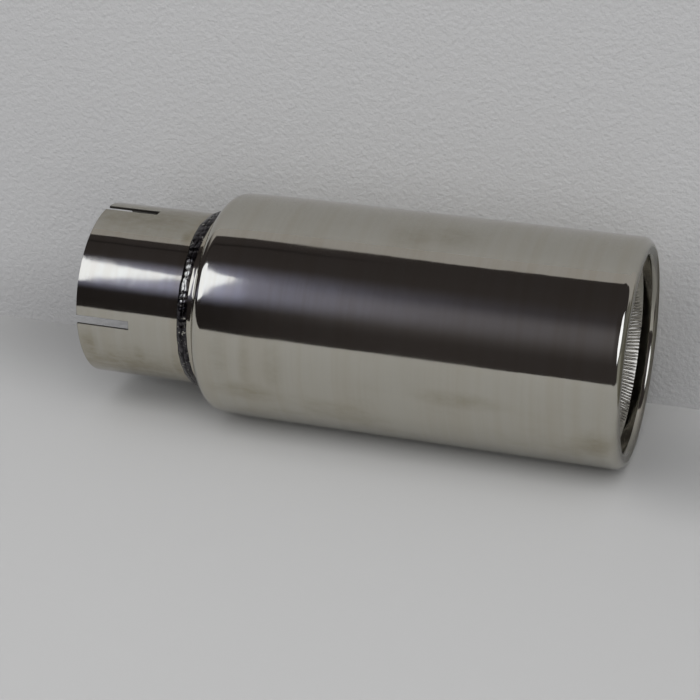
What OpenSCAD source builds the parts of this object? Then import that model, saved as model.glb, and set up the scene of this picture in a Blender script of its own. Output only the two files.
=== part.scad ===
// Round tail pipe tip of polished stainless sheet: a slotted inlet tube is welded into the necked collar
// of a wider shell. The shell's outlet edge is rolled inwards, returns into the bore and ends in a rim
// that draws in towards the axis.
// The axis runs along +X. The origin is the centre of the inlet's open end, and +Z is up.

/* [Shell] */
// Outside diameter of the shell
body_d = 101.6; // [98:0.1:130]
// Thickness of the shell's sheet
shell_wall = 1.2; // [0.8:0.1:2]
// Length from the inlet's open end to the outlet's front
overall_l = 248; // [180:1:400]

/* [Shoulder] */
// Outer radius of the bend from the flank towards the body
shoulder_r = 6.5; // [4:0.5:9]
// Slope at which the shoulder's bend ends and runs out into the body
run_out_angle = 2.5; // [0.5:0.5:5]
// Length over which the shoulder runs out into the body
run_out_l = 26; // [10:1:40]
// Outer radius of the bend from the collar into the flank
neck_r = 1.5; // [0.5:0.1:3]
// Slope of the flank against the axis
flank_angle = 74; // [50:1:80]
// Straight length of the collar, from its edge to the neck bend
collar_l = 3.2; // [3:0.1:12]

/* [Rolled lip] */
// Outer radius of the bend from the body to the outlet's front
lip_r = 4.8; // [3:0.1:8]
// Outer radius of the tighter bend from the outlet's front back into the bore
lip_in_r = 3; // [2:0.1:6]
// Straight length of the flange that returns into the bore behind the bends
lip_return = 3.6; // [1:0.1:15]
// Outer radius of the crease between the flange and its gathered rim
crease_r = 0.8; // [0.4:0.1:2]
// Slope at which the gathered rim draws in towards the axis
rim_slope = 25; // [5:1:40]
// Length of the gathered rim
rim_l = 7; // [3:0.5:12]

/* [Inlet tube] */
// Bore of the inlet tube, which slips over the tail pipe
inlet_bore_d = 76.3; // [60:0.1:80]
// Wall of the inlet tube
inlet_wall = 1.2; // [0.8:0.1:2]
// Length of the inlet tube that stands out of the collar
inlet_reach = 52; // [36:1:90]
// Length of the inlet tube inside the collar and shoulder
inlet_overlap = 10; // [6:0.5:25]
// Radial clearance between the inlet tube and the collar
collar_slip = 0.1; // [0.02:0.01:0.3]

/* [Clamping slots] */
// Number of slots round the inlet's open end
slot_n = 4; // [2:1:8]
// Length of each slot
slot_l = 25; // [10:1:30]
// Width of each slot
slot_w = 4; // [1:0.5:8]

/* [Weld] */
// Reach of the bead along the tube, ahead of the collar's edge
weld_leg = 3.6; // [1.5:0.1:5]
// Reach of the bead over the collar, behind its edge
weld_lap = 1.8; // [1:0.1:2.8]
// Height of the bead's back above the line between its two toes
weld_crown = 0.9; // [0.4:0.1:1.6]

/* [Hidden] */

$fn = 64;
// Largest turn between two neighbouring points of a bend
bend_step = 12;
// How far a cutting shape reaches past what it cuts
over = 1;

// Radii of the inlet tube, of the collar that it sits in and of the body
tube_in = inlet_bore_d / 2;
tube_out = tube_in + inlet_wall;
collar_in = tube_out + collar_slip;
collar_out = collar_in + shell_wall;

body_r = body_d / 2;

// Places along the axis
collar_x = inlet_reach;
neck_x = collar_x + collar_l;
tube_end = inlet_reach + inlet_overlap;

// The run-out is a long, shallow bend, tangent to the body
run_out_r = run_out_l / sin(run_out_angle);
run_out_rise = run_out_r * (1 - cos(run_out_angle));

// The flank is the common tangent of the neck bend and the shoulder bend, which ends where the run-out
// begins. Where the two bends alone climb from the collar to the run-out before they reach the flank's
// slope, they meet at the slope that they have there.
bends = shoulder_r + neck_r;
rise = body_r - run_out_rise - collar_out + shoulder_r * (1 - cos(run_out_angle));
slope = min(flank_angle, acos(1 - min(rise / bends, 1)));
flank_l = max(0, rise - bends * (1 - cos(slope))) / sin(slope);
shoulder_l = bends * sin(slope) - shoulder_r * sin(run_out_angle) + flank_l * cos(slope);
body_l = overall_l - lip_r - run_out_l - shoulder_l - neck_x;

// The bead's back is an arc over the chord between its toes, one on the tube and one on the collar
toe_a = [tube_out, collar_x - weld_leg];
toe_b = [collar_out, collar_x + weld_lap];
toe_chord = norm(toe_b - toe_a);
back_r = toe_chord * toe_chord / (8 * weld_crown) + weld_crown / 2;
chord_out = [toe_b.y - toe_a.y, toe_a.x - toe_b.x] / toe_chord;
back_centre = (toe_a + toe_b) / 2 + chord_out * (weld_crown - back_r);

steel = [0.74, 0.73, 0.71];
weld_metal = [0.36, 0.33, 0.31];

// Turns a half section, drawn with the radius along X and the axis along Y, about the tip's axis
module turned() {
    rotate([0, 90, 0]) rotate_extrude() children();
}

// Half section of a straight wall between two radii and two places along the axis
module wall(inner, outer, from, to) {
    translate([inner, from]) square([outer - inner, to - from]);
}

// A half section's points are [radius, place along the axis]. A sheet's path goes on from point to point
// with its heading, 0 along the axis and positive turned towards it, and the sheet lies on the inward side.
function ahead(heading) = [-sin(heading), cos(heading)];
function inward(heading) = [-cos(heading), -sin(heading)];
function spot(p) = [p.x, p.y];

// The points that a stretch adds after point p: a stretch is [length, 0], or [outer face's radius, turn]
function straight(p, length) = [concat(spot(p) + length * ahead(p.z), p.z)];
function bend(p, radius, turn) =
    let (
        steps = ceil(abs(turn) / bend_step),
        arm = sign(turn) * radius,
        centre = spot(p) + arm * inward(p.z)
    )
    [for (i = [1 : steps]) let (h = p.z + turn * i / steps) concat(centre - arm * inward(h), h)];
function stretch(p, size, turn) = turn == 0 ? straight(p, size) : bend(p, size, turn);
function follow(path, stretches, i = 0) =
    i == len(stretches) ? path : follow(
        concat(path, stretch(path[len(path) - 1], stretches[i].x, stretches[i].y)), stretches, i + 1
    );

// Half section of a sheet of one thickness, whose outer face runs along a path
module sheet(path, thickness) {
    outer_face = [for (p = path) spot(p)];
    inner_face = [for (i = [len(path) - 1 : -1 : 0]) spot(path[i]) + thickness * inward(path[i].z)];
    polygon(concat(outer_face, inner_face));
}

// The slots are saw cuts of one width, spaced evenly from the top of the tube
module slots() {
    for (i = [0 : slot_n - 1]) {
        rotate([i * 360 / slot_n, 0, 0])
            translate([-over, -slot_w / 2, tube_in - over])
                cube([slot_l + over, slot_w, inlet_wall + 2 * over]);
    }
}

module inlet_tube() {
    color(steel) difference() {
        turned() wall(tube_in, tube_out, 0, tube_end);
        slots();
    }
}

module outer_shell() {
    stretches = [
        [collar_l, 0],
        [neck_r, -slope],
        [flank_l, 0],
        [shoulder_r, slope - run_out_angle],
        [run_out_r, run_out_angle],
        [body_l, 0],
        [lip_r, 90],
        [lip_in_r, 90],
        [lip_return, 0],
        [crease_r, -rim_slope],
        [rim_l, 0]
    ];
    color(steel) turned() sheet(follow([[collar_out, collar_x, 0]], stretches), shell_wall);
}

module weld_bead() {
    color(weld_metal) turned() difference() {
        translate(back_centre) circle(r = back_r);
        wall(0, tube_out, collar_x - weld_leg - 2 * back_r, collar_x + over);
        wall(0, collar_out, collar_x, collar_x + weld_lap + 2 * back_r);
    }
}

inlet_tube();
outer_shell();
weld_bead();
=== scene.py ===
"""A polished exhaust tip dressed for a still picture: a slotted inlet tube, a necked shell with a rolled
lip and the weld bead between them, on a pale table close to a pale wall."""

import math

import bpy
import numpy as np
from bpy.props import FloatProperty, FloatVectorProperty, IntProperty, PointerProperty
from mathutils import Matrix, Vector


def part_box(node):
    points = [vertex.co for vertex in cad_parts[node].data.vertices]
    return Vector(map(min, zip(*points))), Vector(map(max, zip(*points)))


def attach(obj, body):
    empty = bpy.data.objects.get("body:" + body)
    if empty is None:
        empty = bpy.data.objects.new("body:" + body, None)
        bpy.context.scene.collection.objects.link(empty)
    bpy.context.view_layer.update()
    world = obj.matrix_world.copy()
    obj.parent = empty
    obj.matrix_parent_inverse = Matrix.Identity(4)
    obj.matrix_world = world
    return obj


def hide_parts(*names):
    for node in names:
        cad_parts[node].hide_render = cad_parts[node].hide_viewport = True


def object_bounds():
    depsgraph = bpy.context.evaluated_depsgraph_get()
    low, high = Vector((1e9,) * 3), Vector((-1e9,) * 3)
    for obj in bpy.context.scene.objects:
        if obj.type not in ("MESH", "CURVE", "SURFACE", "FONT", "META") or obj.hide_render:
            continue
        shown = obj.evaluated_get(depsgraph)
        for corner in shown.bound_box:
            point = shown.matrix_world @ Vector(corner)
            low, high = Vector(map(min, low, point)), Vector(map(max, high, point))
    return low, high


bl_info = {
    "name": "Exhaust tip",
    "version": (1, 0, 0),
    "blender": (4, 5, 0),
    "location": "3D View > Sidebar > Exhaust tip",
    "description": "Builds the inlet tube, the shell and the weld bead of a polished exhaust tip",
    "category": "Object",
}

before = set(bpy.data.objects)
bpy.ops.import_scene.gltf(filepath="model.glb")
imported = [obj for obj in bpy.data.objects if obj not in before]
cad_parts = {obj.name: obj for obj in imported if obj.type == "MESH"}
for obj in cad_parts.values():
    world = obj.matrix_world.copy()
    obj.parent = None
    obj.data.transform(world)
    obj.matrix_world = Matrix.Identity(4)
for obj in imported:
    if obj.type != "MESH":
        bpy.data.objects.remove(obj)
CAD_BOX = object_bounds()
INLET_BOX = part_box("inlet_tube")
SHELL_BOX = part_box("outer_shell")
BEAD_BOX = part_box("weld_bead")
TABLE_TOP = CAD_BOX[0][2]
MM = 0.001
TINT_WIDTH = 5 * MM


def length(name, description, default, low=0.0, high=10.0):
    """A size in metres."""
    return FloatProperty(
        name=name, description=description, default=default, min=low, max=high,
        unit="LENGTH", subtype="DISTANCE", precision=5,
    )


def angle(name, description, degrees):
    """An angle, written in degrees."""
    return FloatProperty(
        name=name, description=description, default=math.radians(degrees), unit="ROTATION", subtype="ANGLE",
    )


def colour(name, description, default):
    """A linear colour."""
    return FloatVectorProperty(
        name=name, description=description, default=default, size=3, min=0.0, max=1.0, subtype="COLOR",
    )


def level(name, description, default, high=20.0):
    """A plain number, such as a share or a brightness."""
    return FloatProperty(name=name, description=description, default=default, min=0.0, max=high)


def count(name, description, default):
    """A number of copies or divisions."""
    return IntProperty(name=name, description=description, default=default, min=1)


class InletSizes(bpy.types.PropertyGroup):
    """Sizes of the slotted inlet tube"""
    outer_radius: length("Outer radius", "Half the tube's outside diameter", INLET_BOX[1][2])
    wall: length("Wall", "Thickness of the tube", 1.2 * MM)
    reach: length("Length", "From the open end to the end inside the collar", INLET_BOX[1][0])
    slot_length: length("Slot length", "Depth of a clamping slot", 25 * MM)
    slot_width: length("Slot width", "Width of a clamping slot", 4 * MM)
    slots: count("Slots", "Number of clamping slots round the open end", 4)
    edge: length("Edge", "Width of the softened edges", 0.16 * MM)


class ShellSizes(bpy.types.PropertyGroup):
    """Sizes of the shell, from its collar to its rolled lip"""
    body_radius: length("Body radius", "Half the body's outside diameter", SHELL_BOX[1][2])
    collar_radius: length("Collar radius", "Half the collar's outside diameter", 40.65 * MM)
    collar_start: length("Collar start", "Place of the collar's edge along the axis", SHELL_BOX[0][0])
    outlet: length("Outlet", "Place of the rolled lip's front along the axis", SHELL_BOX[1][0])
    wall: length("Wall", "Thickness of the sheet", 1.2 * MM)
    collar_length: length("Collar length", "From the collar's edge to the neck bend", 3.2 * MM)
    collar_crown: angle("Collar crown", "Slope of the collar at its edge", 9)
    collar_flat: length("Collar flat", "Straight part of the collar before the neck bend", 0.2 * MM)
    neck_bend: length("Neck bend", "Outer radius of the bend from collar to flank", 1.5 * MM)
    shoulder_bend: length("Shoulder bend", "Outer radius of the bend from flank to body", 6.5 * MM)
    flank: angle("Flank", "Slope of the flank against the axis", 74)
    run_out: angle("Run-out", "Slope at which the shoulder runs out into the body", 2.5)
    run_out_length: length("Run-out length", "Length over which the shoulder runs out", 26 * MM)
    lip_bend: length("Lip bend", "Outer radius of the bend from the body to the outlet's front", 4.8 * MM)
    lip_turn: length("Lip turn", "Outer radius of the tighter bend from the front into the bore", 3 * MM)
    flange: length("Flange", "Straight part that returns into the bore", 3.6 * MM)
    crease: length("Crease", "Outer radius of the crease between the flange and its rim", 0.8 * MM)
    rim_slope: angle("Rim slope", "Slope at which the gathered rim draws in towards the axis", 25)
    rim: length("Rim", "Length of the gathered rim", 7 * MM)
    edge: length("Edge", "Rounding of the sheet's cut edges", 0.25 * MM)
    wrinkles: count("Wrinkles", "Gathers round the shrunk rim", 176)
    wrinkle_height: length("Wrinkle height", "Height of the gathers at the rim's edge", 0.6 * MM)


class BeadSizes(bpy.types.PropertyGroup):
    """Sizes of the weld bead"""
    start: length("Start", "Toe on the tube, along the axis", BEAD_BOX[0][0])
    end: length("End", "Toe on the collar, along the axis", BEAD_BOX[1][0])
    crown: length("Crown", "Height of the back above the line between the toes", 0.9 * MM)
    ripples: count("Ripples", "Solidified ripples round the bead", 66)
    ripple_height: length("Ripple height", "Height of a ripple", 0.16 * MM)
    wander: length("Wander", "How far the toes stray from a true circle", 0.28 * MM)
    lap_groove: length("Lap groove", "Depth of the seam along the bead's back", 0.3 * MM)


class Finishes(bpy.types.PropertyGroup):
    """Colours of the metal"""
    steel: colour("Steel", "Polished stainless steel", (0.50, 0.485, 0.43))
    # The colour of the brown patches that grow stronger towards the bottom
    brown_tone: colour("Stain", "Brown film left by heat and fingers", (0.32, 0.285, 0.20))
    tint: colour("Heat tint", "Straw tint beside the weld", (0.41, 0.36, 0.27))
    # Also the colour of the painted shade on the inlet's top and front underside
    burn_and_shade: colour("Burn", "Olive brown of the single stains", (0.25, 0.215, 0.135))
    weld: colour("Weld", "Weld metal", (0.075, 0.070, 0.075))
    # Also the dark colour towards which painted shade darkens the bore, the lip's front and the gathers
    sawn: colour("Sawn edge", "Dull cut faces of the tube", (0.075, 0.068, 0.06))
    gloss: level("Roughness", "Roughness of the polish", 0.07, 1.0)


class StageSizes(bpy.types.PropertyGroup):
    """Table, wall, lights and camera"""
    wall_place: length("Wall", "Distance of the wall behind the axis", 57 * MM)
    wall_mirrored: length("Wall mirrored", "Height up to which the metal mirrors the wall", 0.33)
    table_edge: length("Table edge", "Distance of the table's front edge from the axis", 0.48)
    table_colour: colour("Table", "Pale table top", (0.44, 0.44, 0.44))
    wall_colour: colour("Wall paint", "Pale wall", (0.40, 0.40, 0.405))
    lens: level("Lens", "Focal length in millimetres", 100.0, 300.0)
    world: level("World", "Brightness of the even light", 1.12)
    backdrop: level("Backdrop", "Brightness of the background past the table", 0.55)
    key: level("Key", "Power of the soft lamp in front, in watts", 11.0, 500.0)
    left_card: level("Left card", "Brightness of the light card at the left", 1.98)
    right_card: level("Right card", "Brightness of the light card at the right", 2.2)


SETTINGS = {
    "tip_inlet": InletSizes,
    "tip_shell": ShellSizes,
    "tip_bead": BeadSizes,
    "tip_finish": Finishes,
    "tip_stage": StageSizes,
}


# Meshes

def new_object(name, points, faces, normals=None, marks=None):
    """An object at the origin. points is (n, 3), and faces is a list of whole arrays of corners. marks are
    named values, one for each point, which the finishes read."""
    mesh = bpy.data.meshes.new(name)
    corners = np.concatenate([block.ravel() for block in faces])
    sizes = np.concatenate([np.full(len(block), block.shape[1]) for block in faces])
    mesh.vertices.add(len(points))
    mesh.vertices.foreach_set("co", np.ascontiguousarray(points, dtype=np.float32).ravel())
    mesh.loops.add(len(corners))
    mesh.loops.foreach_set("vertex_index", corners.astype(np.int32))
    mesh.polygons.add(len(sizes))
    mesh.polygons.foreach_set("loop_start", (np.cumsum(sizes) - sizes).astype(np.int32))
    mesh.update(calc_edges=True)
    mesh.validate()
    mesh.shade_smooth()
    for label, values in (marks or {}).items():
        mesh.attributes.new(label, "FLOAT", "POINT").data.foreach_set("value", values.astype(np.float32))
    if normals is not None:
        mesh.normals_split_custom_set_from_vertices(normals.astype(np.float32))
    obj = bpy.data.objects.new(name, mesh)
    bpy.context.scene.collection.objects.link(obj)
    return obj


def strips(first, rows, around, closed_rows=False):
    """Quads between neighbouring rows of a grid whose rows are closed rings of points, numbered from first.
    closed_rows joins the last row to the first one too."""
    row = np.arange(rows if closed_rows else rows - 1)[:, None]
    step = np.arange(around)[None, :]
    here = first + row * around + step
    right = first + row * around + (step + 1) % around
    above = first + (row + 1) % rows * around + step
    above_right = first + (row + 1) % rows * around + (step + 1) % around
    return np.stack([here, right, above_right, above], axis=-1).reshape(-1, 4)


def fan(coarse, fine, around, split, flip):
    """Triangles between a coarse ring and a ring with split times as many points, numbered from coarse and
    from fine. Each coarse edge spreads to split fine ones: half from its one end, half from its other."""
    i = np.arange(around)
    near = coarse + i
    far = coarse + (i + 1) % around
    blocks = []
    for k in range(split):
        low = fine + i * split + k
        high = fine + (i * split + k + 1) % (around * split)
        blocks.append(np.stack([near if k < split // 2 else far, high, low], axis=-1))
        if k == split // 2:
            blocks.append(np.stack([near, far, low], axis=-1))
    triangles = np.concatenate(blocks)
    return triangles[:, ::-1] if flip else triangles


def turned(x, r, along, out, turns, side=0.0):
    """Points and normals of a profile turned about the X axis. x and r are places on the profile, and along,
    out and side are its normal's parts on the axis, on the radius and round the ring. A point at turn t is
    (x, r cos t, r sin t)."""
    cos, sin = np.cos(turns)[None, :], np.sin(turns)[None, :]
    x, r, along, out = (a[:, None] if a.ndim == 1 else a for a in (x, r, along, out))
    points = np.stack(np.broadcast_arrays(x, r * cos, r * sin), axis=-1)
    normals = np.stack(np.broadcast_arrays(along, out * cos - side * sin, out * sin + side * cos), axis=-1)
    normals = normals / np.linalg.norm(normals, axis=-1, keepdims=True)
    return points.reshape(-1, 3), normals.reshape(-1, 3)


def ring_turns(around):
    """Angles of a closed ring's points."""
    return np.arange(around) * 2 * math.pi / around


def uneven(turns, low, high, terms, seed):
    """A smooth closed wave round the axis between about -1 and 1: a sum of cosines whose numbers of waves
    lie between low and high, with seeded heights and phases. Such a sum seldom nears its limits, so it is
    stretched by gain."""
    gain = 1.6
    rng = np.random.default_rng(seed)
    waves = rng.integers(low, high + 1, terms)
    phases = rng.uniform(0, 2 * math.pi, terms)
    heights = rng.uniform(0.5, 1.0, terms)
    angles = np.multiply.outer(waves, turns) + phases.reshape(-1, *[1] * turns.ndim)
    return np.tensordot(heights, np.cos(angles), 1) / heights.sum() * gain


def smooth_step(value, low, high):
    """0 below low, 1 above high, and an S-curve between."""
    t = np.clip((value - low) / (high - low), 0, 1)
    return t * t * (3 - 2 * t)


# Inlet tube

def inlet_mesh(sizes):
    """Two grids over (place along the axis, turn), one on the outside and one in the bore, without the cells
    that the slots take. Walls join the two along every open edge. The slots' sides are parallel, so the turn
    of a slot's edge on a radius r is asin(half the width / r). The marks tell the finish which points lie on
    sawn edges and how dull the metal is: polished outside and plain in the bore. The finish also darkens the
    sawn edges and the bore as painted shade."""
    rows_slot, rows_rest, steps_slot, steps_rest = 20, 26, 4, 76
    steps = steps_slot + steps_rest
    x = np.concatenate([
        np.linspace(0, sizes.slot_length, rows_slot + 1),
        np.linspace(sizes.slot_length, sizes.reach, rows_rest + 1)[1:],
    ])

    def side(radius):
        half = math.asin(sizes.slot_width / 2 / radius)
        pitch = 2 * math.pi / sizes.slots
        one = np.concatenate([
            np.linspace(-half, half, steps_slot + 1)[:-1],
            np.linspace(half, pitch - half, steps_rest + 1)[:-1],
        ])
        turns = (np.arange(sizes.slots)[:, None] * pitch + one[None, :]).ravel() + math.pi / 2
        y, z = radius * np.cos(turns)[None, :], radius * np.sin(turns)[None, :]
        return np.stack(np.broadcast_arrays(x[:, None], y, z), axis=-1).reshape(-1, 3)

    points = np.concatenate([side(sizes.outer_radius), side(sizes.outer_radius - sizes.wall)])
    bore = len(points) // 2
    cells = strips(0, len(x), sizes.slots * steps)
    row, step = np.divmod(np.arange(len(cells)), sizes.slots * steps)
    outside = cells[(row >= rows_slot) | (step % steps >= steps_slot)]
    edges = np.concatenate([outside[:, [k, (k + 1) % 4]] for k in range(4)])
    rim = edges[~np.isin(edges @ [bore, 1], edges @ [1, bore])]
    walls = np.stack([rim[:, 1], rim[:, 0], rim[:, 0] + bore, rim[:, 1] + bore], axis=-1)
    faces = np.concatenate([outside, outside[:, ::-1] + bore, walls])
    # The finish also darkens the sawn edges and the bore as painted shade
    marks = {"sawn": np.isin(np.arange(len(points)) % bore, rim), "dull_and_shade": np.arange(len(points)) >= bore}
    used, packed = np.unique(faces, return_inverse=True)
    return points[used], packed.reshape(-1, 4), {name: values[used] for name, values in marks.items()}


# Shell

# Points of each quarter arc along the sheet's cut edges
ARC_POINTS = 4
# Headings of the sheet between which the lip is satin, and the turn over which the satin fades, in radians
SATIN_FROM, SATIN_TO, SATIN_FADE = 0.9, 2.7, 0.6
# How dull the lip's front and the gathers are, where 0 is polished and 1 is plain; the same share darkens
# them as painted shade
LIP_DULL, GATHERS_DULL = 0.75, 0.36


def sheet_path(sizes):
    """Stations [radius, place, heading] along the outer face of the sheet, from the collar's edge to the
    rim's edge, and the number of the station where the gathered part begins. A straight goes on along its
    heading, and a bend is an arc of a given radius and turn."""
    crown_length = sizes.collar_length - sizes.collar_flat - sizes.edge
    crown_radius = crown_length / math.sin(sizes.collar_crown)
    crown_rise = crown_radius * (1 - math.cos(sizes.collar_crown))
    run_out_radius = sizes.run_out_length / math.sin(sizes.run_out)
    run_out_rise = run_out_radius * (1 - math.cos(sizes.run_out))
    rise = sizes.body_radius - run_out_rise - sizes.collar_radius
    rise = rise + sizes.shoulder_bend * (1 - math.cos(sizes.run_out))
    bends = sizes.neck_bend + sizes.shoulder_bend
    flank = (rise - bends * (1 - math.cos(sizes.flank))) / math.sin(sizes.flank)
    climb = bends * math.sin(sizes.flank) - sizes.shoulder_bend * math.sin(sizes.run_out)
    climb = climb + flank * math.cos(sizes.flank) + sizes.run_out_length
    body = sizes.outlet - sizes.lip_bend - sizes.collar_start - sizes.collar_length - climb
    start = [sizes.collar_radius - crown_rise, sizes.collar_start + sizes.edge, -sizes.collar_crown]
    path = [np.array([start])]

    def straight(distance, steps):
        r, x, heading = path[-1][-1]
        s = np.linspace(0, distance, steps + 1)[1:]
        r, x = r - s * math.sin(heading), x + s * math.cos(heading)
        path.append(np.stack([r, x, heading + 0 * s], axis=-1))

    def bend(radius, turn, steps):
        r, x, heading = path[-1][-1]
        arm = math.copysign(radius, turn)
        h = heading + np.linspace(0, turn, steps + 1)[1:]
        r, x = r - arm * math.cos(heading), x - arm * math.sin(heading)
        path.append(np.stack([r + arm * np.cos(h), x + arm * np.sin(h), h], axis=-1))

    bend(crown_radius, sizes.collar_crown, 7)
    straight(sizes.collar_flat, 1)
    bend(sizes.neck_bend, -sizes.flank, 12)
    straight(flank, 3)
    bend(sizes.shoulder_bend, sizes.flank - sizes.run_out, 18)
    bend(run_out_radius, sizes.run_out, 12)
    straight(body, 8)
    bend(sizes.lip_bend, math.pi / 2, 22)
    bend(sizes.lip_turn, math.pi / 2, 20)
    straight(sizes.flange, 3)
    smooth = sum(len(part) for part in path)
    bend(sizes.crease, -sizes.rim_slope, 4)
    straight(sizes.rim - sizes.edge, 16)
    return np.concatenate(path), smooth


def cut_edge(station, out, way, wall, edge):
    """Profile points and normals round a cut edge of the sheet, from its outer face to its inner face: two
    quarter arcs with the flat of the cut between them. out points out of the outer face, and way points past
    the edge."""
    quarter = (np.arange(ARC_POINTS)[:, None] + 1) * math.pi / 2 / ARC_POINTS
    outer_arc = out * np.cos(quarter) + way * np.sin(quarter)
    inner_arc = out * -np.cos(quarter[::-1]) + way * np.sin(quarter[::-1])
    points = np.concatenate([
        station - edge * out + edge * outer_arc,
        station - (wall - edge) * out + edge * inner_arc,
    ])
    return points, np.concatenate([outer_arc, inner_arc])


def gathers(sizes, x, turns):
    """Height of the gathers at places x (n, 1) and turns (1, m): |sin| round the axis, which makes broad
    folds parted by sharp creases, with a pitch and a height that stray a little. They stand up at once behind
    the crease between flange and rim, and grow towards the rim's edge."""
    short_way, short_share = 0.35 * MM, 0.16
    fold = np.abs(np.sin(sizes.wrinkles * turns / 2 + 0.9 * uneven(turns, 5, 60, 14, seed=3)))
    fold = fold * (0.75 + 0.3 * uneven(turns, 12, 80, 16, seed=5)) + 0.12 * uneven(turns, 70, 260, 16, seed=7)
    start = sizes.outlet - sizes.lip_turn - sizes.flange
    deep = np.clip((start - x) / (sizes.rim * math.cos(sizes.rim_slope)), 0, 1)
    quick = np.clip((start - x) / short_way, 0, 1)
    return sizes.wrinkle_height * (short_share * quick + (1 - short_share) * deep) * fold


def shell_mesh(sizes):
    """The sheet's closed profile (outer face, cut edge, inner face, cut edge) turned about the axis. The
    gathered face of the rim has split times as many points round the axis as the rest. Its radius is lessened
    by the height d of the gathers, which turns the normal by d's slopes along x and round the axis. The marks
    tell the finish how dull the metal is: polished outside, satin on the lip's front and on the gathers, and
    plain inside. The same marks darken the lip's front, the gathers and the inside as painted shade."""
    path, smooth = sheet_path(sizes)
    spots, heading = path[:, :2], path[:, 2:]
    out = np.concatenate([np.cos(heading), np.sin(heading)], axis=1)
    way = np.concatenate([-np.sin(heading), np.cos(heading)], axis=1)
    back = np.unique(np.concatenate([np.arange(0, len(path), 2), [len(path) - 1]]))[::-1]
    rim_edge = cut_edge(spots[-1], out[-1], way[-1], sizes.wall, sizes.edge)
    collar_edge = cut_edge(spots[0], out[0], -way[0], sizes.wall, sizes.edge)
    inner_face = spots - sizes.wall * out
    fine = (
        np.concatenate([spots[smooth:], rim_edge[0][:ARC_POINTS]]),
        np.concatenate([out[smooth:], rim_edge[1][:ARC_POINTS]]),
    )
    plain = (
        np.concatenate([rim_edge[0][ARC_POINTS:], inner_face[back], collar_edge[0][::-1], spots[:smooth]]),
        np.concatenate([rim_edge[1][ARC_POINTS:], -out[back], collar_edge[1][::-1], out[:smooth]]),
    )

    split, per_wrinkle = 4, 7
    around = sizes.wrinkles * per_wrinkle // split
    turns = ring_turns(around * split)[None, :]
    x, radius = fine[0][:, 1:], fine[0][:, :1]
    step_x, step_turn = 0.02 * MM, 1e-4
    height = gathers(sizes, x, turns)
    slope_x = (gathers(sizes, x + step_x, turns) - gathers(sizes, x - step_x, turns)) / (2 * step_x)
    ahead, behind = gathers(sizes, x, turns + step_turn), gathers(sizes, x, turns - step_turn)
    slope_turn = (ahead - behind) / (2 * step_turn)
    out_r, out_x = fine[1][:, :1], fine[1][:, 1:]
    fine_points, fine_normals = turned(
        x, radius - height, out_x + out_r * slope_x, out_r, turns[0], side=out_r * slope_turn / radius,
    )
    plain_points, plain_normals = turned(
        plain[0][:, 1], plain[0][:, 0], plain[1][:, 1], plain[1][:, 0], ring_turns(around),
    )
    first = len(fine_points)
    faces = [
        strips(0, len(x), around * split),
        strips(first, len(plain[0]), around),
        fan(first + len(plain_points) - around, 0, around, split, flip=False),
        fan(first, first - around * split, around, split, flip=True),
    ]
    turned_in = np.clip((heading[:smooth, 0] - SATIN_FROM) / SATIN_FADE, 0, 1)
    not_past = np.clip((SATIN_TO - heading[:smooth, 0]) / SATIN_FADE, 0, 1)
    inside = np.ones(len(back) + 2 * ARC_POINTS)
    edge_outside = np.zeros(ARC_POINTS)
    # This share also darkens the inside, the lip's front and the gathers as painted shade
    dull_and_shade = np.concatenate([inside, edge_outside, LIP_DULL * turned_in * not_past])
    rows = np.concatenate([np.full(len(fine_points), GATHERS_DULL), np.repeat(dull_and_shade, around)])
    points = np.concatenate([fine_points, plain_points])
    return points, faces, np.concatenate([fine_normals, plain_normals]), {"dull_and_shade": rows}


# Weld bead

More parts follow.
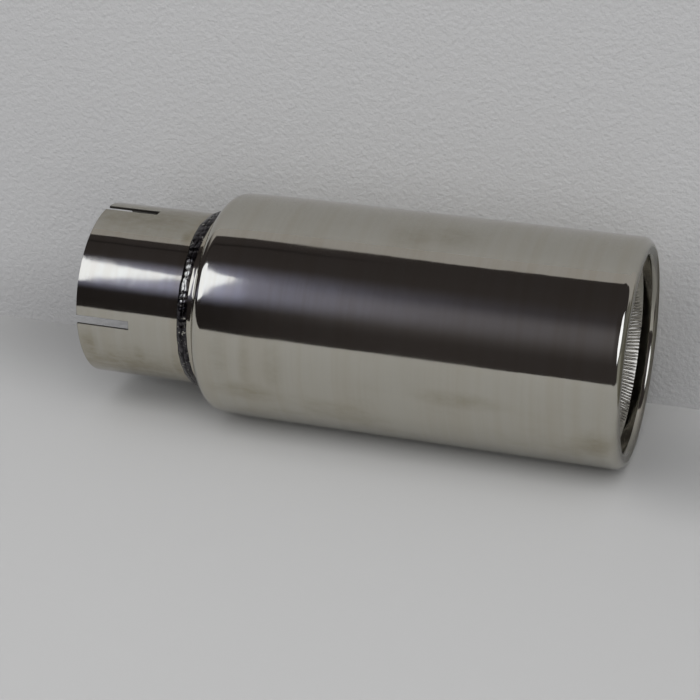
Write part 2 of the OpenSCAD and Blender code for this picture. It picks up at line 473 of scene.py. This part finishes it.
def bead_mesh(sizes, tube_radius, collar_radius, collar_start):
    """A closed section carried round the joint. Its back is a parabola over the chord between the two toes,
    raised by ripples |sin| whose crescents bend back with the square of the place across the bead, and by
    lumps. Both are flatter in a clean stretch towards the front. A seam that strays along the lap on the
    collar parts the back. The toes wander along the axis, most apart low down and at the crest, a little in
    front of the top. The underside follows the tube and the collar's edge. The marks tell the finish how deep
    each point lies in the seam or at the toe on the tube, where it paints shade, and how clean the metal is."""
    across, per_ripple = 25, 14
    crest_turn, crest_reach = math.radians(108), math.radians(20)
    clean_from, clean_to = (129, 139), (152, 163)
    sunk_in_tube, sunk_in_collar = 0.02 * MM, 0.03 * MM
    lump_height = 0.14 * MM
    turns = ring_turns(sizes.ripples * per_ripple)[None, :]
    v = np.linspace(0, 1, across)[:, None]
    wide = 0.5 - 0.5 * np.sin(turns - 0.3)
    crest = np.exp(-((turns - crest_turn) / crest_reach) ** 2)
    toe_a = sizes.start + sizes.wander * (0.6 - 2.2 * wide - 2.0 * crest + uneven(turns, 4, 40, 14, seed=11))
    toe_b = sizes.end + sizes.wander * (2.0 * wide - 1.2 + 2.2 * crest + uneven(turns, 4, 34, 14, seed=12))
    low_a = tube_radius - sunk_in_tube
    low_b = collar_radius - sunk_in_collar
    phase = sizes.ripples * turns + 4.0 * uneven(turns, 3, 26, 10, seed=13) + 2.4 * (2 * v - 1) ** 2
    dome = 4 * v * (1 - v)
    seam_at = 0.60 + 0.12 * uneven(turns, 6, 50, 16, seed=16)
    seam = np.exp(-((v - seam_at) / 0.06) ** 2) * np.clip(0.8 + 0.6 * uneven(turns, 4, 20, 10, seed=18), 0, 1)
    degrees = np.degrees(turns)
    front = smooth_step(degrees, *clean_from) * (1 - smooth_step(degrees, *clean_to))
    back = sizes.crown * dome * (0.80 + 0.24 * uneven(turns, 4, 30, 12, seed=14))
    ripple = sizes.ripple_height * (np.abs(np.sin(phase / 2)) - 0.6) * (1 - 0.8 * front)
    back = back + ripple * np.sqrt(dome) - sizes.lap_groove * seam * (1 - 0.5 * front)
    back = back + lump_height * dome * (1 - 0.4 * front) * uneven(turns + 0.03 * v, 20, 90, 16, seed=15)
    chord = np.array([sizes.end - sizes.start, collar_radius - tube_radius])
    chord = chord / np.hypot(*chord)
    x = toe_a + (toe_b - toe_a) * v - chord[1] * back
    r = low_a + (low_b - low_a) * v + chord[0] * back
    under = np.zeros((1, turns.shape[1]))
    x = np.concatenate([x, under + collar_start, under + collar_start])
    r = np.concatenate([r, under + low_b, under + low_a])
    clean = np.clip(front + 0.12 * uneven(turns, 5, 40, 14, seed=19) - 0.08, 0, 1)
    # Painted shade: the seam and the toe on the tube, which the finish darkens nearly to black
    deep = np.maximum(seam * (1 - 0.6 * front), np.exp(-(v / (0.12 + 0.20 * front)) ** 4))
    deep = np.concatenate([deep, under + 1, under + 1])
    marks = {"deep": deep.ravel(), "clean": np.broadcast_to(clean, x.shape).ravel()}
    points = np.stack([x, r * np.cos(turns), r * np.sin(turns)], axis=-1).reshape(-1, 3)
    return points, [strips(0, len(x), turns.shape[1], closed_rows=True)], marks


# Finishes

# Stains, and on the inlet also painted shade: place along the axis in mm, turn from the back over the top in
# degrees, reach along and round the axis in mm, and strength
INLET_STAINS_AND_SHADE = [
    (14.7, -153, 5, 4, 0.55), (28.5, -153, 6, 12, 0.6), (4.5, -159, 7, 14, 0.6), (46.3, -146, 5, 18, 0.6),
    (6, 103, 10, 6, 0.5), (15, 103, 8, 5, 0.5), (27, 94, 10, 6, 0.6), (45.5, 112, 5, 9, 0.7),
    # The last two, broad over the inlet's top and its front underside, are painted shade that dims what the
    # tube mirrors there
    (20, -135, 50, 26, 0.65), (25, 92, 55, 26, 0.55),
]
SHELL_STAINS = [
    (150, 108, 16, 12, 0.30), (168, 104, 20, 12, 0.30), (83, -156, 24, 8, 0.45), (180, -170, 30, 6, 0.38),
    (239, -152, 10, 13, 0.45), (72, -175, 6, 22, 0.25), (84, -175, 4, 22, 0.25), (97, -173, 7, 20, 0.25),
]


def put(tree, kind, inputs=None, **settings):
    """A node of a kind, with its settings, and its inputs set to values or linked to other nodes' outputs."""
    node = tree.nodes.new(kind)
    for name, value in settings.items():
        setattr(node, name, value)
    for socket, value in (inputs or {}).items():
        if isinstance(value, bpy.types.NodeSocket):
            tree.links.new(value, node.inputs[socket])
        else:
            node.inputs[socket].default_value = value
    return node


def new_finish(name):
    """A material with nodes, its tree and its shader."""
    material = bpy.data.materials.new(name)
    material.use_nodes = True
    return material, material.node_tree, material.node_tree.nodes["Principled BSDF"]


def place(tree):
    """Object coordinates, in metres on the tip."""
    return put(tree, "ShaderNodeTexCoord").outputs["Object"]


def noise(tree, where, scale, detail=3.0, rough=0.55, stretch=(1, 1, 1)):
    """Cloudy noise between 0 and 1, with scale in lumps a metre, stretched along the axes."""
    mapped = put(tree, "ShaderNodeMapping", {"Vector": where, "Scale": stretch})
    node = put(tree, "ShaderNodeTexNoise", {
        "Vector": mapped.outputs["Vector"], "Scale": scale, "Detail": detail, "Roughness": rough,
    })
    return node.outputs["Fac"]


def spread(tree, value, low, high, to_low=0.0, to_high=1.0):
    """value moved smoothly from the range low to high to the range to_low to to_high."""
    node = put(tree, "ShaderNodeMapRange", {
        "Value": value, "From Min": low, "From Max": high, "To Min": to_low, "To Max": to_high,
    }, interpolation_type="SMOOTHSTEP")
    return node.outputs["Result"]


def times(tree, a, b, operation="MULTIPLY"):
    """Two values multiplied, or joined by another operation."""
    return put(tree, "ShaderNodeMath", {0: a, 1: b}, operation=operation).outputs["Value"]


def blend(tree, share, first, second):
    """A colour between first and second."""
    node = put(tree, "ShaderNodeMix", {"Factor": share}, data_type="RGBA")
    for socket, value in (("A", first), ("B", second)):
        target = [s for s in node.inputs if s.name == socket and s.type == "RGBA"][0]
        if isinstance(value, bpy.types.NodeSocket):
            tree.links.new(value, target)
        else:
            target.default_value = (*value, 1.0)
    return [s for s in node.outputs if s.type == "RGBA"][0]


def mark(tree, name):
    """A value that the mesh carries."""
    return put(tree, "ShaderNodeAttribute", attribute_name=name).outputs["Fac"]


def blot(tree, where, centre, reach, strength):
    """A soft blot of some strength about a centre, which fades to 0 at its reach along each axis."""
    away = put(tree, "ShaderNodeVectorMath", {0: where, 1: centre}, operation="SUBTRACT")
    scaled = put(tree, "ShaderNodeVectorMath", {
        0: away.outputs["Vector"], 1: tuple(1 / size for size in reach),
    }, operation="MULTIPLY")
    apart = put(tree, "ShaderNodeVectorMath", {0: scaled.outputs["Vector"]}, operation="LENGTH")
    return spread(tree, apart.outputs["Value"], 0.1, 1.0, strength, 0.0)


def blots(tree, where, radius, spots):
    """How much a point of a tube of some radius is stained, or darkened as painted shade: the greatest of
    several soft blots, each with its place along the axis in mm, its turn in degrees, its reach along and
    round the axis in mm, and its strength."""
    total = 0.0
    for x, turn, along, across, strength in spots:
        turn = math.radians(turn)
        centre = (x * MM, radius * math.cos(turn), radius * math.sin(turn))
        reach = (along * MM, across * MM, across * MM)
        total = times(tree, total, blot(tree, where, centre, reach, strength), "MAXIMUM")
    return total


def polished_steel(name, finish, radius, spots, tint_from, tint_to, sawn=False):
    """Mirror-polished stainless sheet: faint polishing rings and bands across the axis, a slight waviness of
    the sheet, cloudy haze, a brown tone in cloudy patches that grows stronger towards the bottom, stains in
    the given spots of a tube of some radius, which on the inlet also hold painted shade, and a straw tint
    between two places along the axis near the weld. Sawn faces and the plain inside are dull, and darkened
    further as painted shade."""
    material, tree, shader = new_finish(name)
    where = place(tree)
    parts = put(tree, "ShaderNodeSeparateXYZ", {"Vector": where})
    cloud = noise(tree, where, 1.0, 4.0, 0.65, (150, 320, 320))
    # Stains, and on the inlet also painted shade over its top and front underside
    stains_and_shade = times(tree, blots(tree, where, radius, spots), spread(tree, cloud, 0.30, 0.68, 0.45, 1.0))
    bands = spread(tree, noise(tree, where, 1.0, 3.0, 0.6, (240, 8, 8)), 0.35, 0.70)
    rings = noise(tree, where, 1.0, 4.0, 0.6, (900, 9, 9))
    haze = noise(tree, where, 26.0, 4.0, 0.6, (0.6, 1, 1))
    # A brown tone in cloudy patches, stronger towards the bottom
    brown_patches = times(
        tree,
        spread(tree, noise(tree, where, 38.0, 5.0, 0.62, (0.45, 1, 1)), 0.50, 0.72),
        spread(tree, parts.outputs["Z"], 0.0, -0.035, 0.15, 1.0),
    )
    tinted = times(
        tree,
        spread(tree, parts.outputs["X"], tint_from, tint_to),
        spread(tree, noise(tree, where, 120.0), 0.3, 0.6, 0.5, 1.0),
    )
    base = blend(tree, times(tree, bands, 0.22), tuple(finish.steel), tuple(finish.tint))
    base = blend(tree, times(tree, brown_patches, 0.55), base, tuple(finish.brown_tone))
    base = blend(tree, stains_and_shade, base, tuple(finish.burn_and_shade))
    base = blend(tree, times(tree, tinted, 0.35), base, tuple(finish.tint))
    # Painted shade over dull metal: the bore, the lip's front and the gathers darkened towards the sawn
    # colour
    base = blend(tree, times(tree, mark(tree, "dull_and_shade"), 0.8), base, tuple(finish.sawn))
    rough = spread(tree, haze, 0.3, 0.8, finish.gloss * 0.7, finish.gloss * 1.5)
    rough = times(tree, rough, times(tree, brown_patches, 0.10), "ADD")
    rough = times(tree, rough, times(tree, mark(tree, "dull_and_shade"), 0.35), "ADD")
    if sawn:
        # Painted shade: the sawn faces, dull in fact, darkened nearly to black
        cut = spread(tree, mark(tree, "sawn"), 0.82, 0.98)
        base = blend(tree, cut, base, tuple(finish.sawn))
        rough = times(tree, rough, times(tree, cut, 0.4), "ADD")
    tree.links.new(base, shader.inputs["Base Color"])
    shader.inputs["Metallic"].default_value = 1.0
    tree.links.new(rough, shader.inputs["Roughness"])
    waves = noise(tree, where, 70.0, 2.0, 0.4)
    uneven_sheet = put(tree, "ShaderNodeBump", {"Height": waves, "Strength": 1.0, "Distance": 0.00006})
    bump = put(tree, "ShaderNodeBump", {
        "Height": rings, "Strength": 0.014, "Distance": 0.0002, "Normal": uneven_sheet.outputs["Normal"],
    })
    tree.links.new(bump.outputs["Normal"], shader.inputs["Normal"])
    return material


def weld_metal(name, finish):
    """Dark glossy weld metal: a scaly skin over cleaner metal, painted nearly black as shade in the seam and
    at the toe on the tube, with a few bright flecks."""
    material, tree, shader = new_finish(name)
    where = place(tree)
    scale = noise(tree, where, 420.0, 4.0, 0.6)
    flecks = spread(tree, noise(tree, where, 620.0, 2.0), 0.62, 0.70)
    clean = times(tree, mark(tree, "clean"), spread(tree, scale, 0.36, 0.50))
    skin = tuple(c * 0.25 for c in finish.weld)
    base = blend(tree, spread(tree, scale, 0.35, 0.65), skin, tuple(finish.weld))
    base = blend(tree, times(tree, clean, flecks, "MAXIMUM"), base, tuple(finish.steel))
    # Painted shade: nearly black in the seam and at the toe on the tube
    base = blend(tree, mark(tree, "deep"), base, tuple(c * 0.1 for c in finish.weld))
    tree.links.new(base, shader.inputs["Base Color"])
    shader.inputs["Metallic"].default_value = 1.0
    tree.links.new(spread(tree, scale, 0.3, 0.7, 0.12, 0.26), shader.inputs["Roughness"])
    bump = put(tree, "ShaderNodeBump", {"Height": scale, "Strength": 0.25, "Distance": 0.0002})
    tree.links.new(bump.outputs["Normal"], shader.inputs["Normal"])
    return material


def paint(name, colour_value, grain, depth, painted_shades):
    """Pale matt paint with a fine grain, in lumps a metre, of some depth in metres, darkened by painted shade
    in soft blots, each with its centre, reach and strength."""
    material, tree, shader = new_finish(name)
    where = place(tree)
    cloud = noise(tree, where, 3.0, 2.0)
    darker = tuple(c * 0.97 for c in colour_value)
    lighter = tuple(min(1.0, c * 1.03) for c in colour_value)
    tone = blend(tree, cloud, darker, lighter)
    # Each blot is painted shade laid into the paint's colour
    for centre, reach, strength in painted_shades:
        tone = blend(tree, blot(tree, where, centre, reach, strength), tone, (0.0, 0.0, 0.0))
    tree.links.new(tone, shader.inputs["Base Color"])
    shader.inputs["Roughness"].default_value = 0.85
    shader.inputs["Specular IOR Level"].default_value = 0.2
    bump = put(tree, "ShaderNodeBump", {
        "Height": noise(tree, where, grain, 3.0), "Strength": 0.5, "Distance": depth,
    })
    tree.links.new(bump.outputs["Normal"], shader.inputs["Normal"])
    return material, tree, shader


# Stage

def sheet(name, *outlines):
    """Flat faces on the stage, each with its corners."""
    ends = np.cumsum([0] + [len(outline) for outline in outlines])
    faces = [np.arange(a, b)[None, :] for a, b in zip(ends[:-1], ends[1:])]
    return new_object(name, np.concatenate([np.array(outline, dtype=float) for outline in outlines]), faces)


def table_and_wall(sizes):
    """The table under the tip and a wall close behind it. The wall shows only from its front, so that the
    tip can be seen from behind, and a metal face that looks at it from nearer than close_by sees the room
    past it. The floor before the table's edge, at its right and behind the wall, and the far parts of the
    wall, aren't mirrored in the metal. Painted shade darkens the corner at the left and the table past the
    outlet."""
    far, close_by = 3.0, 0.03

    def on_table(*places):
        return [(x, y, TABLE_TOP) for x, y in places]

    def on_wall(x0, x1, z0, z1):
        y = sizes.wall_place
        return [(x0, y, z0), (x1, y, z0), (x1, y, z1), (x0, y, z1)]

    # Painted shade: soft darker blots in the corner at the left and on the table past the outlet, where the
    # tip's shade falls
    corner = (-0.03, sizes.wall_place, TABLE_TOP)
    past_outlet = (0.285, -0.005, TABLE_TOP)
    table_paint = paint("table_paint", sizes.table_colour, 300.0, 0.00005, [
        (corner, (0.13, 0.09, 0.06), 0.36), (past_outlet, (0.06, 0.06, 0.06), 0.20),
    ])[0]
    edge, back = -sizes.table_edge, sizes.wall_place
    right_side = [(0.36, edge), (0.52, -0.13), (0.33, -0.02), (0.33, back)]
    table = sheet("table", on_table((-far, edge), *right_side, (-far, back)))
    floor = sheet(
        "floor", on_table((-far, back), (far, back), (far, far), (-far, far)),
        on_table((-far, -far), (far, -far), (far, edge), (-far, edge)),
        on_table(right_side[0], (far, edge), (far, back), *right_side[:0:-1]),
    )
    floor.visible_glossy = False
    for obj in (table, floor):
        obj.data.materials.append(table_paint)

    left, right, top = -0.12, 0.34, sizes.wall_mirrored
    wall = sheet("wall", on_wall(left, right, TABLE_TOP, top))
    wall_beyond = sheet(
        "wall_beyond", on_wall(-far, far, top, far), on_wall(-far, left, TABLE_TOP, top),
        on_wall(right, far, TABLE_TOP, top),
    )
    wall_beyond.visible_glossy = False
    # Painted shade in the corner at the left
    material, tree, shader = paint("wall_paint", sizes.wall_colour, 520.0, 0.0014, [
        (corner, (0.13, 0.09, 0.05), 0.22),
    ])
    behind = put(tree, "ShaderNodeNewGeometry").outputs["Backfacing"]
    ray = put(tree, "ShaderNodeLightPath")
    near = times(tree, ray.outputs["Ray Length"], close_by, "LESS_THAN")
    hidden = times(tree, behind, times(tree, ray.outputs["Is Glossy Ray"], near), "MAXIMUM")
    clear = put(tree, "ShaderNodeBsdfTransparent")
    mixed = put(tree, "ShaderNodeMixShader", {
        0: hidden, 1: shader.outputs["BSDF"], 2: clear.outputs["BSDF"],
    })
    output = tree.nodes["Material Output"]
    tree.links.new(mixed.outputs["Shader"], output.inputs["Surface"])
    for obj in (wall, wall_beyond):
        obj.data.materials.append(material)
    return [table, floor, wall, wall_beyond]


def glow(name, attribute=None, strength=1.0, tone=(1, 1, 1)):
    """A plain light-giving finish, or one whose brightness is a mesh attribute. What the metal throws on from
    there to the table and the wall is plain white, about as bright as the even light."""
    material, tree, shader = new_finish(name)
    emission = put(tree, "ShaderNodeEmission", {"Color": (*tone, 1.0), "Strength": strength})
    if attribute:
        level_of = put(tree, "ShaderNodeAttribute", attribute_name=attribute)
        bounces = put(tree, "ShaderNodeLightPath").outputs["Diffuse Depth"]
        passed_on = times(tree, bounces, 0.5, "GREATER_THAN")
        lit = blend(tree, passed_on, level_of.outputs["Color"], (1.0, 1.0, 1.0))
        tree.links.new(lit, emission.inputs["Color"])
    tree.links.new(emission.outputs["Emission"], tree.nodes["Material Output"].inputs["Surface"])
    return material


def mirrored_only(obj):
    """obj shows only in the metal's reflections."""
    obj.visible_camera = False
    obj.visible_diffuse = False
    obj.visible_transmission = False
    obj.visible_shadow = False
    return obj


# Edge of the pale ceiling in the mirrored room: lean towards +X and elevation above the front, in degrees
CEILING_EDGE = [(-20, 94.4), (-9, 92.2), (28, 94.8), (50, 104), (62, 106), (66, 98)]


def room_tone(lean, elevation):
    """Brightness of the room as the metal mirrors it, by lean towards +X and elevation above the front, in
    degrees: a dim room, darker low at the left and just below the ceiling's edge, with a lilac glow beside
    the window at the left that goes on as a faint streak. Beyond the ceiling's edge it is pale, with a darker
    corner behind at the right, and a grey side wall ends it at the far right."""
    dim = np.array([0.0485, 0.0425, 0.0435])
    lilac = np.array([0.44, 0.46, 0.68])
    faint = np.array([0.080, 0.077, 0.085])
    pale = np.array([0.465, 0.45, 0.45])
    behind = np.array([0.16, 0.155, 0.13])
    side = np.array([0.17, 0.17, 0.155])
    edge = np.interp(lean, *zip(*CEILING_EDGE))
    left = 1 - smooth_step(lean, -16, -10.5)
    shade = 1 - 0.10 * smooth_step(elevation, 60, 84) * (1 - left * smooth_step(elevation, 86, 89))
    shade = shade - 0.40 * left * np.exp(-((elevation - 84) / 1.2) ** 2)
    low = (1 - smooth_step(elevation, 26, 44)) * (1 - smooth_step(lean, -23, -10))
    shade = shade - 0.52 * low
    near_window = np.exp(-np.clip(lean + 20.5, 0, None) / 5.2) * (1 - 0.6 * smooth_step(-lean, 24, 40))
    band = smooth_step(elevation, 17, 36) * (1 - smooth_step(elevation, 44, 66))
    tone = dim * shade[..., None] + lilac * (near_window * band)[..., None]
    streak = smooth_step(elevation, 8, 34) * (1 - smooth_step(elevation, 38, 52))
    streak = streak * smooth_step(lean, -19, -12) * (1 - 0.5 * smooth_step(lean, -5, 25))
    tone = tone + faint * streak[..., None]
    beyond = (smooth_step(elevation, edge - 0.4, edge + 0.4) * smooth_step(lean, -60, -40))[..., None]
    beside = (smooth_step(lean, 64, 67) * (1 - smooth_step(elevation, 150, 178)))[..., None]
    tone = tone * (1 - beyond) + pale * beyond
    past = (smooth_step(elevation, 160, 178) * smooth_step(lean, 0, 15))[..., None]
    tone = tone * (1 - past) + behind * past
    return tone * (1 - beside) + side * beside * (1 + 0.8 * (1 - smooth_step(elevation, 5, 25)))[..., None]


def room():
    """A round canopy about the tip, which only the metal mirrors. It is a grid over lean and elevation, finer
    where the tone changes fast. A point on it is its radius times the direction (sin lean, -cos lean cos
    elevation, cos lean sin elevation)."""
    radius = 2.4
    lean_steps = [(-89.9, -30, 3), (-30, -5, 0.5), (-5, 40, 1), (40, 70, 0.25)]
    elevation_steps = [(-90, 10, 4), (10, 80, 1), (80, 100, 0.25), (100, 155, 0.5), (155, 271, 5)]
    lean = np.concatenate([*(np.arange(*steps) for steps in lean_steps), np.linspace(70, 89.9, 8)])
    elevation = np.concatenate([np.arange(*steps) for steps in elevation_steps])
    elevation, lean = np.meshgrid(elevation, lean, indexing="ij")
    rise, aside = np.radians(elevation), np.radians(lean)
    across = np.cos(aside)
    points = radius * np.stack([np.sin(aside), -across * np.cos(rise), across * np.sin(rise)], axis=-1)
    rows, columns = elevation.shape
    corner = (np.arange(rows - 1)[:, None] * columns + np.arange(columns - 1)[None, :]).reshape(-1, 1)
    obj = mirrored_only(new_object(
        "room", points.reshape(-1, 3), [corner + np.array([[0, 1, columns + 1, columns]])],
    ))
    tones = np.concatenate([room_tone(lean, elevation), np.ones((rows, columns, 1))], axis=-1)
    attribute = obj.data.color_attributes.new("room_tone", "FLOAT_COLOR", "POINT")
    attribute.data.foreach_set("color", tones.astype(np.float32).ravel())
    obj.data.materials.append(glow("room_glow", "room_tone"))
    return obj


def towards(lean, elevation, distance):
    """The place at a distance in the direction that leans lean degrees towards +X and stands elevation
    degrees above the front, seen from the tip."""
    lean, elevation = math.radians(lean), math.radians(elevation)
    across = math.cos(lean) * distance
    return Vector((math.sin(lean) * distance, -across * math.cos(elevation), across * math.sin(elevation)))


def soft_card(name, directions, strength, tone, distance=2.0):
    """A light card with its corners in the given directions (lean, elevation), which the metal mirrors."""
    card = mirrored_only(sheet(name, [towards(*direction, distance) for direction in directions]))
    card.data.materials.append(glow(name + "_glow", strength=strength, tone=tone))
    return card


# Corners of the two light cards: lean towards +X and elevation above the front, in degrees
LEFT_CARD = [
    (-62, 72), (-40, 66), (-24, 61.5), (-23.4, 57.4), (-22.4, 54), (-21.5, 52.2), (-20.8, 50.6),
    (-19.6, 49.8), (-19.2, 48), (-19.6, 45.2), (-20.3, 42.2), (-20.8, 40.2), (-21.3, 38.6), (-21.8, 37),
    (-22.6, 33.2), (-23.4, 28.8), (-24, 26.6), (-40, 24), (-62, 20),
]
RIGHT_CARD = [(45, 40), (47, 26), (54, 8), (66, 20), (70, 42), (67, 62), (55, 77), (47, 64)]
LEFT_CARD_TONE = (0.85, 0.89, 1.0)
RIGHT_CARD_TONE = (0.87, 0.90, 1.0)

CAMERA_PLACE = (0.3595, -0.7625, 0.3555)
CAMERA_LOOKS_ALONG = (-0.2754, 0.8640, -0.4214)


def soft_lamp(name, spot, aim, size, power):
    """A square soft lamp that lights the table, the wall and the tip but isn't mirrored."""
    data = bpy.data.lights.new(name, "AREA")
    data.size = size
    data.energy = power
    lamp = bpy.data.objects.new(name, data)
    bpy.context.scene.collection.objects.link(lamp)
    lamp.location = spot
    lamp.rotation_euler = (Vector(aim) - Vector(spot)).to_track_quat("-Z", "Y").to_euler()
    lamp.visible_glossy = False
    return lamp


def even_light(sizes):
    """Plain white light from everywhere, which the camera, the metal and clear things see as a pale grey."""
    world = bpy.data.worlds.new("even_light")
    world.use_nodes = True
    tree = world.node_tree
    rays = put(tree, "ShaderNodeLightPath").outputs
    seen = times(tree, rays["Is Camera Ray"], rays["Is Glossy Ray"], "MAXIMUM")
    seen = times(tree, seen, rays["Is Transmission Ray"], "MAXIMUM")
    strength = put(tree, "ShaderNodeMapRange", {
        "Value": seen, "To Min": sizes.world, "To Max": sizes.backdrop,
    })
    background = tree.nodes["Background"]
    background.inputs["Color"].default_value = (1.0, 1.0, 1.0, 1.0)
    tree.links.new(strength.outputs["Result"], background.inputs["Strength"])
    return world


def camera(sizes):
    """The camera to the right of the tip and above it."""
    data = bpy.data.cameras.new("camera")
    data.lens = sizes.lens
    data.sensor_width = 36.0
    obj = bpy.data.objects.new("camera", data)
    bpy.context.scene.collection.objects.link(obj)
    obj.location = CAMERA_PLACE
    obj.rotation_euler = Vector(CAMERA_LOOKS_ALONG).to_track_quat("-Z", "Y").to_euler()
    bpy.context.scene.camera = obj


# Operators

class EXHAUST_TIP_OT_stage(bpy.types.Operator):
    """Lay the table, stand the wall, and place the lights and the camera"""
    bl_idname = "exhaust_tip.stage"
    bl_label = "Stage"

    def execute(self, context):
        sizes = context.scene.tip_stage
        pieces = table_and_wall(sizes)
        pieces.append(room())
        pieces.append(soft_card("left_card", LEFT_CARD, sizes.left_card, LEFT_CARD_TONE))
        pieces.append(soft_card("right_card", RIGHT_CARD, sizes.right_card, RIGHT_CARD_TONE))
        soft_lamp("window_light", spot=(0.05, -1.1, 1.2), aim=(0.1, 0, 0), size=1.3, power=sizes.key)
        context.scene.world = even_light(sizes)
        context.scene.view_settings.view_transform = "Standard"
        camera(sizes)
        return {"FINISHED"}


class EXHAUST_TIP_OT_inlet(bpy.types.Operator):
    """Build the slotted inlet tube"""
    bl_idname = "exhaust_tip.inlet"
    bl_label = "Inlet tube"

    def execute(self, context):
        sizes = context.scene.tip_inlet
        points, faces, marks = inlet_mesh(sizes)
        tube = new_object("inlet_sheet", points, [faces], marks=marks)
        sharp = math.radians(40)
        tube.data.set_sharp_from_angle(angle=sharp)
        soften = tube.modifiers.new("soften", "BEVEL")
        soften.width = sizes.edge
        soften.segments = 2
        soften.limit_method = "ANGLE"
        soften.angle_limit = sharp
        soften.harden_normals = True
        bead = context.scene.tip_bead
        tube.data.materials.append(polished_steel(
            "polished_inlet", context.scene.tip_finish, sizes.outer_radius, INLET_STAINS_AND_SHADE,
            bead.start - TINT_WIDTH, bead.start, sawn=True,
        ))
        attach(tube, "root")
        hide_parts("inlet_tube")
        return {"FINISHED"}


class EXHAUST_TIP_OT_shell(bpy.types.Operator):
    """Build the necked shell with its rolled lip and gathered rim"""
    bl_idname = "exhaust_tip.shell"
    bl_label = "Shell"

    def execute(self, context):
        sizes = context.scene.tip_shell
        points, faces, normals, marks = shell_mesh(sizes)
        shell = new_object("shell_sheet", points, faces, normals, marks)
        bead = context.scene.tip_bead
        shell.data.materials.append(polished_steel(
            "polished_shell", context.scene.tip_finish, sizes.body_radius, SHELL_STAINS,
            bead.end + TINT_WIDTH, bead.end,
        ))
        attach(shell, "root")
        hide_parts("outer_shell")
        return {"FINISHED"}


class EXHAUST_TIP_OT_bead(bpy.types.Operator):
    """Lay the rippled weld bead between the tube and the collar"""
    bl_idname = "exhaust_tip.bead"
    bl_label = "Weld bead"

    def execute(self, context):
        scene = context.scene
        points, faces, marks = bead_mesh(
            scene.tip_bead, scene.tip_inlet.outer_radius, scene.tip_shell.collar_radius,
            scene.tip_shell.collar_start,
        )
        bead = new_object("weld_ripples", points, faces, marks=marks)
        bead.data.set_sharp_from_angle(angle=math.radians(70))
        bead.data.materials.append(weld_metal("weld_metal", scene.tip_finish))
        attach(bead, "root")
        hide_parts("weld_bead")
        return {"FINISHED"}


class EXHAUST_TIP_PT_panel(bpy.types.Panel):
    """Lists the tip's operators and sizes"""
    bl_idname = "EXHAUST_TIP_PT_panel"
    bl_label = "Exhaust tip"
    bl_space_type = "VIEW_3D"
    bl_region_type = "UI"
    bl_category = "Exhaust tip"

    def draw(self, context):
        for operator in OPERATORS:
            self.layout.operator(operator.bl_idname)
        for name, group in SETTINGS.items():
            box = self.layout.box()
            box.label(text=group.__doc__)
            for key in group.__annotations__:
                box.prop(getattr(context.scene, name), key)


OPERATORS = (EXHAUST_TIP_OT_stage, EXHAUST_TIP_OT_inlet, EXHAUST_TIP_OT_shell, EXHAUST_TIP_OT_bead)


def register():
    for group in SETTINGS.values():
        bpy.utils.register_class(group)
    for name, group in SETTINGS.items():
        setattr(bpy.types.Scene, name, PointerProperty(type=group))
    for operator in OPERATORS:
        bpy.utils.register_class(operator)
    bpy.utils.register_class(EXHAUST_TIP_PT_panel)


def unregister():
    bpy.utils.unregister_class(EXHAUST_TIP_PT_panel)
    for operator in reversed(OPERATORS):
        bpy.utils.unregister_class(operator)
    for name in SETTINGS:
        delattr(bpy.types.Scene, name)
    for group in reversed(SETTINGS.values()):
        bpy.utils.unregister_class(group)


def main():
    """Builds the stage and the tip."""
    register()
    bpy.ops.exhaust_tip.stage()
    bpy.ops.exhaust_tip.inlet()
    bpy.ops.exhaust_tip.shell()
    bpy.ops.exhaust_tip.bead()


if __name__ == "__main__":
    main()
